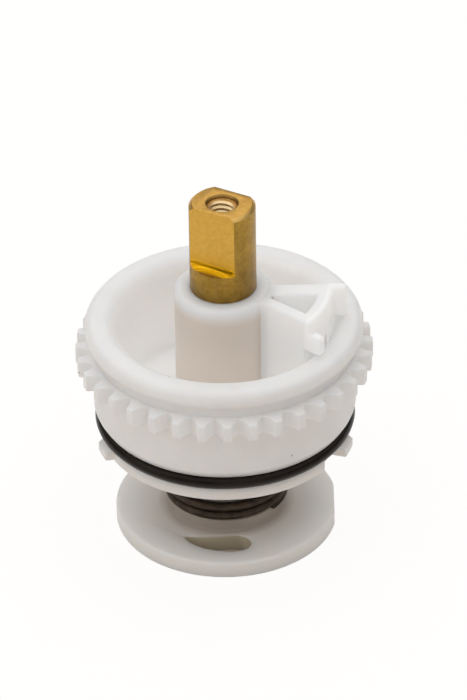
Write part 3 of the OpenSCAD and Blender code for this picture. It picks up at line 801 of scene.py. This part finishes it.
toothed_lathe(cap_rows, TEETH).run(cap, {
    "Turn": 0.7, "Tip radius": tip_r, "Wall radius": wall_r, "Crest width": 1.2, "Valley depth": 2.0,
    "Valley shape": 1.6, "Teeth from": tooth_low, "Teeth to": tooth_high, "Ear radius": ear_r,
    "Ear angle": 70.5, "Ear span": 10, "Gap span": 13, "Gap depth": flange_r - groove_r - 0.02})
cleaned(cap, flat_deg=0)

# %% [markdown]
# ## Ribs and stops of the cap
# Eight ribs cross the cored ring, and two taller ones in the cup stop the arm. They could be ten boxes,
# but they are the same thing, a plate that stands radially, so one recipe makes both sets: points round
# the axis, and a plate on each. Their ends sink into the walls that carry them.

# %% Plates round the axis
def plates_round():
    t = Recipe("plates_round")
    count, first, step, inner, outer, thick, low, high = t.sizes(
        "Count", "First angle", "Step angle", "From radius", "To radius", "Thickness",
        "From height", "To height")
    line = t.add("GeometryNodeMeshLine", {"mode": "OFFSET"}, {"Count": count})
    azimuth = (first + t.add("GeometryNodeInputIndex") * step) * math.radians(1)
    middle = (inner + outer) * 0.5
    points = t.moved(line, middle * azimuth.sin(), 0 - middle * azimuth.cos(), (low + high) * 0.5)
    size = t.add("ShaderNodeVectorMath", {"operation": "SCALE"},
                 {0: t.place_at(thick, outer - inner, high - low), "Scale": MM})
    plate = t.add("GeometryNodeMeshCube", None, {"Size": size})
    copies = t.add("GeometryNodeInstanceOnPoints", None,
                   {"Points": points, "Instance": plate, "Rotation": t.place_at(0, 0, azimuth)})
    t.end(copies, ACETAL)
    return t


def joined(piece, *others):
    """One piece with the solids of all, each still a closed shell."""
    bm = bmesh.new()
    for part in (piece, *others):
        bm.from_mesh(part.data)
    bm.to_mesh(piece.data)
    bm.free()
    for part in others:
        bpy.data.objects.remove(part)
    return shaded(piece)


rib_count, rib_t, rib_sink = 8, 1.4, 0.3
stop_at, stop_step, stop_t, stop_l, stop_h, stop_sink = 95.0, 104.5, 1.55, 4.5, 9, 0.5
plates = plates_round()
ribs = plates.run(new_piece("ribs", [(0, 0, 0)], []), {
    "Count": rib_count, "First angle": 180 / rib_count, "Step angle": 360 / rib_count,
    "From radius": core_r - rib_sink, "To radius": skirt_r + rib_sink, "Thickness": rib_t,
    "From height": flange_z + 0.05, "To height": pocket_top + rib_sink})
stops = plates.run(new_piece("stops", [(0, 0, 0)], []), {
    "Count": 2, "First angle": stop_at, "Step angle": stop_step,
    "From radius": cup_r - stop_l, "To radius": cup_r + stop_sink, "Thickness": stop_t,
    "From height": floor_z - stop_sink, "To height": floor_z + stop_h})
for part in (ribs, stops):
    beveled(part, 0.2)
joined(cap, ribs, stops)
dress(cap, "cap", "white_acetal", ACETAL, "cap_body")

# %% [markdown]
# ## O-ring
# A moulded O-ring has a faint flash line where the two halves of its mould met, and it catches the
# light. A torus has no such line, so the ring is turned from its own section by the same grid, without
# any rule.

# %% O-ring
def plain_lathe(rows, columns):
    t = Recipe("plain_lathe")
    grid, column, radius, height = unrolled(t, columns, rows)
    t.end(rolled_up(t, grid, radius, column * (2 * math.pi / columns), height), RUBBER)
    return t


def turned(name, corners, columns=192, closed=True, fine=1.0):
    """A turned solid. An open section starts and ends on the axis."""
    piece, rows = section(name, corners, closed, fine)
    plain_lathe(rows, columns).run(piece, {})
    return cleaned(piece, flat_deg=0)


def ring_outline(middle_r, middle_z, r, flash, count=36):
    places = []
    for i in range(count):
        turn = 2 * math.pi * i / count
        reach = r + (flash if i in (0, count // 2) else 0)
        places.append((middle_r + reach * math.cos(turn), middle_z + reach * math.sin(turn), 0))
    return places


section_r, flash = (ring_high.z - ring_low.z) / 2, 0.03
outline = ring_outline(ring_high.x - section_r, ring_low.z + section_r, section_r, flash)
o_ring = turned("sealing_ring", outline, columns=240)
dress(o_ring, "cap", "black_rubber", RUBBER, "body_o_ring")

# %% [markdown]
# ## Spring
# The spring is drawn wire on a helix, with closed turns at its ends that are ground flat. A Screw
# modifier keeps one pitch, and this coil needs two. So points are laid out on the helix by a rule of
# their number, swept with a round section, and then cut by the two planes that the grinding wheel left.

# %% Wire on a helix
def helix_wire():
    t = Recipe("helix_wire")
    mean_r, wire_r, start, first, last, rise, closed, opened, count = t.sizes(
        "Mean radius", "Wire radius", "Start angle", "First height", "Last height",
        "Rise of a closed turn", "Closed turns below", "Open turns", "Points")
    line = t.add("GeometryNodeMeshLine", {"mode": "OFFSET"}, {"Count": count})
    at = t.add("GeometryNodeInputIndex") * (closed + opened + 1) / (count - 1)
    pitch = (last - first - rise * (closed + 1)) / opened
    above = at - closed
    closed_turns = at.at_most(closed) + (above - opened).at_least(0)
    height = first + rise * closed_turns + pitch * above.at_least(0).at_most(opened)
    azimuth = start * math.radians(1) + at * (2 * math.pi)
    coil = t.moved(line, mean_r * azimuth.sin(), 0 - mean_r * azimuth.cos(), height)
    path = t.add("GeometryNodeMeshToCurve", None, {"Mesh": coil})
    round_wire = t.add("GeometryNodeCurvePrimitiveCircle", None, {"Resolution": 20, "Radius": wire_r * MM})
    t.end(t.add("GeometryNodeCurveToMesh", None,
                {"Curve": path, "Profile Curve": round_wire, "Fill Caps": True}), WIRE)
    return t


def ground(piece, height_mm, keep):
    """Cuts the piece flat at this height, keeps what is above (1) or below (-1), and closes the cut."""
    bm = bmesh.new()
    bm.from_mesh(piece.data)
    bmesh.ops.remove_doubles(bm, verts=bm.verts, dist=SAME_PLACE)
    cut = bmesh.ops.bisect_plane(bm, geom=bm.verts[:] + bm.edges[:] + bm.faces[:], dist=1e-7,
                                 plane_co=(0, 0, height_mm * MM), plane_no=(0, 0, keep), clear_inner=True)
    edges = [g for g in cut["geom_cut"] if isinstance(g, bmesh.types.BMEdge)]
    bmesh.ops.holes_fill(bm, edges=edges, sides=0)
    bm.to_mesh(piece.data)
    bm.free()

# %% Spring
wire_d, tip_t, wire_end_at = 1.4, 0.4, 50
closed_below, open_turns, points_per_turn = 2, 3, 72
spring = helix_wire().run(new_piece("wound_spring", [(0, 0, 0)], []), {
    "Mean radius": (spring_high.x - spring_low.x) / 2 - wire_d / 2, "Wire radius": wire_d / 2,
    "Start angle": wire_end_at, "First height": spring_low.z + tip_t - wire_d / 2,
    "Last height": spring_high.z - tip_t + wire_d / 2, "Rise of a closed turn": wire_d * 1.04,
    "Closed turns below": closed_below, "Open turns": open_turns,
    "Points": (closed_below + open_turns + 1) * points_per_turn + 1})
ground(spring, spring_low.z, 1)
ground(spring, spring_high.z, -1)
cleaned(spring, flat_deg=0)
dress(spring, "stem", "spring_steel", WIRE, "spring")
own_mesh(spring)

# %% [markdown]
# ## Stem
# The stem is a turned journal and hub above a flatted drive end, with two grooves for its seals and one
# for its clip. The turned part is a grid rolled round the axis again. The drive end is an outline that
# is pushed up, united with it and bored for the screw, because no rule of the angle is needed for
# shapes that two cuts give.

# %% Turned part of the stem
seal_floor_r, seal_h, clip_floor_r = 3.92, 1.8, 4.4
seal_z = [neck_z + share * (floor_z - neck_z) for share in (0.28, 0.72)]
root_r, root_z, pin_r = 4.5, brass_low.z, 3.2
journal = [(0, root_z, 0), (root_r, root_z, 0.1), (root_r, hub_top, 0.05), (hub_r, hub_top, 1.0),
           (hub_r, hub_z, 0.2), (journal_r, hub_z, 0.1)]
for z in reversed(seal_z):
    journal += [(journal_r, z + seal_h / 2, 0.1), (seal_floor_r, z + seal_h / 2, 0.2),
                (seal_floor_r, z - seal_h / 2, 0.2), (journal_r, z - seal_h / 2, 0.1)]
journal += [(journal_r, clip_high.z, 0.05), (clip_floor_r, clip_high.z, 0.05),
            (clip_floor_r, clip_low.z, 0), (pin_r, clip_low.z, 0), (pin_r, clip_low.z - 1, 0),
            (0, clip_low.z - 1, 0)]
stem = turned("stem_hub_and_arm", journal, closed=False, fine=1.3)

# %% Outlines, prisms and cuts
def around(r, degrees):
    """The (x, y) at this radius and this angle from the front towards the right."""
    turn = math.radians(degrees)
    return np.array((r * math.sin(turn), -r * math.cos(turn)))


def round_outline(r, sides):
    return [around(r, 360 * i / sides) for i in range(sides)]


def prism(name, outline, low, high):
    """A closed solid from an outline in millimetres, between two heights."""
    n = len(outline)
    verts = [(x * MM, y * MM, z * MM) for z in (low, high) for x, y in outline]
    sides = [(i, (i + 1) % n, (i + 1) % n + n, i + n) for i in range(n)]
    return cleaned(new_piece(name, verts, [range(n), range(n, 2 * n), *sides]), flat_deg=0)


def boolean(piece, other, operation="DIFFERENCE"):
    """Cuts, joins or trims the piece with another solid, which is used up."""
    mod = piece.modifiers.new(operation.lower(), "BOOLEAN")
    mod.operation, mod.object, mod.solver = operation, other, "EXACT"
    baked(piece)
    bpy.data.objects.remove(other)
    return piece

# %% Drive end
drive_r, drive_flats, drive_screw_r, drive_screw_l = 4.9, 7.2, 1.5, 7.4
half_angle = math.degrees(math.asin(drive_flats / 2 / drive_r))
side_arc = [around(drive_r, a) for a in np.linspace(90 - half_angle, 90 + half_angle, 15)]
drive_outline = side_arc + [-p for p in side_arc]
boolean(stem, prism("drive_end", drive_outline, stem_low.z, clip_low.z), "UNION")
screw_top = stem_low.z + drive_screw_l
boolean(stem, prism("screw_room", round_outline(drive_screw_r, 24), stem_low.z - 1, screw_top))
print("drive end:", len(drive_outline), "points in its outline")

# %% [markdown]
# ## Stop arm
# The arm is a sector of the cup with a pocket in its top, a head over the lip and two small fingers. It
# could be cut from a block, but its flared root, its walls and its steps all meet at shared corners, and
# cuts that nearly meet leave slivers. So it is built like masonry: a grid of cells between a few radii,
# a few lines along its faces and a few heights, some of them filled. The faces between filled and empty
# cells make one closed shell, so the Bevel modifier finds only true edges, and then arm and hub are
# united into one solid, as they are moulded.

# %% Sizes of the arm
arm_from, arm_to = 50, 91
arm_foot, finger_drop = 0.6, 2.0
inside_hub_r, pocket_in_r, pocket_out_r, arm_r, head_r, finger_r = 6.3, 7.6, 13.6, 14.7, 15.7, 17.6
finger_t, front_wall, back_wall = 1.4, 1.9, 2.8
flare_slope = 1.1
head_z = crest_z + 0.3
arm_radii = (inside_hub_r, pocket_in_r, pocket_out_r, arm_r, head_r, finger_r)
arm_heights = (hub_z + arm_foot, head_z, hub_top - finger_drop, hub_top)
MIDDLE_CELLS = 5


def line_angles(r):
    """Angles at which the lines along the arm's two faces, and those between, cross this radius."""
    flare = max(0, pocket_in_r - r) * flare_slope
    r = max(r, pocket_in_r)
    front = [arm_from + math.degrees(math.asin(w / r)) for w in (-flare, finger_t, front_wall)]
    back = [arm_to - math.degrees(math.asin(w / r)) for w in (back_wall, finger_t, -flare)]
    middle = np.linspace(front[-1], back[0], MIDDLE_CELLS + 1)[1:-1]
    return [*front, *middle, *back]


def arm_is_solid(line, ring, layer):
    """The foot is solid, the pocket is open, and only the fingers reach the last ring."""
    last = MIDDLE_CELLS + 3
    in_wall = line < 2 or line > last - 2
    if layer == 0:
        return ring < 3
    if ring == 1:
        return in_wall
    if ring == 4:
        return line == last or (line == 0 and layer == 1)
    return True

# %% Stop arm
def masonry(name, lines, radii, heights, is_solid):
    """A closed shell round the solid cells. lines(r) gives the angles at a radius."""
    angles = [lines(r) for r in radii]
    size = (len(angles[0]) - 1, len(radii) - 1, len(heights) - 1)
    solid = {c for c in np.ndindex(size) if is_solid(*c)}
    places, faces = {}, []
    for cell in sorted(solid):
        for axis in range(3):
            for side in (0, 1):
                beside = list(cell)
                beside[axis] += 2 * side - 1
                if tuple(beside) in solid:
                    continue
                u, v = (axis + 1) % 3, (axis + 2) % 3
                quad = []
                for du, dv in ((0, 0), (1, 0), (1, 1), (0, 1)):
                    corner = list(cell)
                    corner[axis] += side
                    corner[u] += du
                    corner[v] += dv
                    quad.append(places.setdefault(tuple(corner), len(places)))
                faces.append(quad)
    verts = [(*around(radii[j], angles[j][i]) * MM, heights[k] * MM) for i, j, k in places]
    print(name, "-", len(solid), "cells in", len(faces), "faces")
    return cleaned(new_piece(name, verts, faces), flat_deg=0)


arm = masonry("arm", line_angles, arm_radii, arm_heights, arm_is_solid)
beveled(arm, 0.45, segments=4, clamp=False)
boolean(stem, arm, "UNION")
cleaned(stem, flat_deg=0)
dress(stem, "stem", "white_acetal", ACETAL, "stem")

# %% [markdown]
# ## Flow disc
# The disc is turned too, with a raised seat and a sleeve for the spring. Two kidney ports, the flats of
# the drive hole and the small flat of the moulding gate are cut into it. The ports could be rings of
# a sector with round ends, but the real ones slant to the left and are blunt to the right, so their
# width follows a rule of the angle. The cuts come before the edges are rounded, so that theirs are too.

# %% Turned part of the disc
disc_r, sleeve_r = disc_high.y, 6.8
counter_r, web_z, middle_hole_r = 6.0, 3.3, 3.0
disc = turned("ported_disc", [
    (counter_r, disc_low.z, 0.15), (disc_r, disc_low.z, 0.35), (disc_r, disc_t, 0.45),
    (seat_r, disc_t, 0.4), (seat_r, seat_z, 0.25), (sleeve_r, seat_z, 0.15),
    (sleeve_r, disc_high.z, 0.4), (middle_hole_r, disc_high.z, 0), (middle_hole_r, web_z, 0),
    (counter_r, web_z, 0.2)], columns=160)
cleaned(disc)

# %% Ports, drive hole and gate
port_from, port_widest, port_to = -34, 4, 18
port_taper, port_blunt = 1.5, 2.2
drive_room = 1.016
gate_depth, gate_half = 0.4, 8


def port_outline(turn, steps=24):
    """The outline of a kidney port, widest at one angle."""
    middle, half = (port_in + port_out) / 2, (port_out - port_in) / 2
    sides = []
    for sign in (1, -1):
        row = []
        for i in range(steps + 1):
            u = -math.cos(math.pi * i / steps)
            limit, corner = (port_from, port_taper) if u < 0 else (port_to, port_blunt)
            width = half * (1 - abs(u) ** corner) ** (1 / corner)
            row.append(around(middle + sign * width, turn + port_widest + abs(u) * (limit - port_widest)))
        sides += row if sign > 0 else row[-2:0:-1]
    return sides


for turn in (0, 180):
    boolean(disc, prism("port", port_outline(turn), -1, disc_t + 1))
boolean(disc, prism("drive_hole", [p * drive_room for p in drive_outline], web_z - 1, disc_high.z + 1))
gate, past = disc_r - gate_depth, disc_r + 1
gate_outline = [(gate, -gate_half), (past, -gate_half), (past, gate_half), (gate, gate_half)]
boolean(disc, prism("gate", gate_outline, -1, disc_t + 1))
beveled(cleaned(disc), 0.2, segments=3)
cleaned(disc, flat_deg=0)
dress(disc, "disc", "white_acetal", ACETAL, "flow_disc")

# %% [markdown]
# ## Spindle and its screw thread
# The bar is a cleaned copy of the CAD solid, because its flats and their run-outs are cut exactly there.
# The real hole is tapped. A bump in the material could draw a thread, but it wouldn't stand out at the
# hole's mouth. So the copy's hole is opened to the thread's outer radius, and a ridge is wound back into
# it along a helix.

# %% Spindle
def copy_of(node, name):
    """A cleaned copy of a CAD node, to cut and bevel."""
    piece = bpy.data.objects.new(name, nodes[node].data.copy())
    scene.collection.objects.link(piece)
    return cleaned(piece)


thread_out_r, thread_in_r, thread_pitch, hole_deep = 2.08, 1.72, 0.794, 10.0
spindle = copy_of("spindle", "brass_spindle")
opened = prism("opened", round_outline(thread_out_r, 32), brass_high.z - hole_deep, brass_high.z + 1)
boolean(spindle, opened)
beveled(cleaned(spindle), 0.07, segments=2)

# %% Screw thread
def thread_ridge():
    t = Recipe("thread_ridge")
    outer, inner, pitch, low, high, count = t.sizes(
        "Outer radius", "Inner radius", "Pitch", "From height", "To height", "Points")
    line = t.add("GeometryNodeMeshLine", {"mode": "OFFSET"}, {"Count": count})
    height = low + (high - low) * t.add("GeometryNodeInputIndex") / (count - 1)
    azimuth = height / pitch * (2 * math.pi)
    middle = (outer + inner) * 0.5
    coil = t.moved(line, middle * azimuth.sin(), 0 - middle * azimuth.cos(), height)
    path = t.add("GeometryNodeMeshToCurve", None, {"Mesh": coil})
    path = t.add("GeometryNodeSetCurveNormal", {"mode": "Z_UP"}, {"Curve": path})
    wedge = t.add("GeometryNodeCurvePrimitiveCircle", None,
                  {"Resolution": 4, "Radius": (outer - inner) * 0.62 * MM})
    t.end(t.add("GeometryNodeCurveToMesh", None,
                {"Curve": path, "Profile Curve": wedge, "Fill Caps": True}), BRASS)
    return t


thread = thread_ridge().run(new_piece("thread", [(0, 0, 0)], []), {
    "Outer radius": thread_out_r + 0.06, "Inner radius": thread_in_r, "Pitch": thread_pitch,
    "From height": brass_high.z - hole_deep + 0.6, "To height": brass_high.z - 0.75, "Points": 500})
cleaned(thread, flat_deg=0)
joined(cleaned(spindle, flat_deg=0), thread)
dress(spindle, "stem", "turned_brass", BRASS, "spindle")

# %% [markdown]
# ## Small parts
# Two plastic washers, a spring seat, a clip, a steel washer and a cross-recessed screw hold the cap
# together inside. Their CAD shapes are right, so they could simply get a finish, but stamped and turned
# parts have broken edges, which copies can be given. The two seals in the neck have no edges, so those
# nodes stay.

# %% Small parts
for node, name, body, slot, material in (
        ("thrust_washer", "thrust_ring", "cap", "white_acetal", ACETAL),
        ("spring_seat_ring", "spring_seat", "cap", "bright_steel", STEEL),
        ("clip_washer", "clip_ring", "stem", "white_acetal", ACETAL),
        ("stem_clip", "retaining_clip", "stem", "bright_steel", STEEL),
        ("disc_washer", "disc_ring", "stem", "bright_steel", STEEL),
        ("disc_screw", "cross_screw", "stem", "bright_steel", STEEL)):
    part = beveled(copy_of(node, name), 0.06, segments=2)
    dress(cleaned(part, flat_deg=0), body, slot, material, node)
for node in ("upper_stem_o_ring", "lower_stem_o_ring"):
    nodes[node].data.materials.clear()
    nodes[node].data.materials.append(RUBBER)

# %% [markdown]
# ## The end
# Both boxes, the CAD model's and the visual model's, are printed side by side. The visual model has to
# stay inside the CAD model's box.

# %% Sizes for the record, and the end
visual_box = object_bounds()
for corner, visual_corner in zip(cad_box, visual_box):
    print("CAD", [round(c / MM, 3) for c in corner], "visual", [round(c / MM, 3) for c in visual_corner])
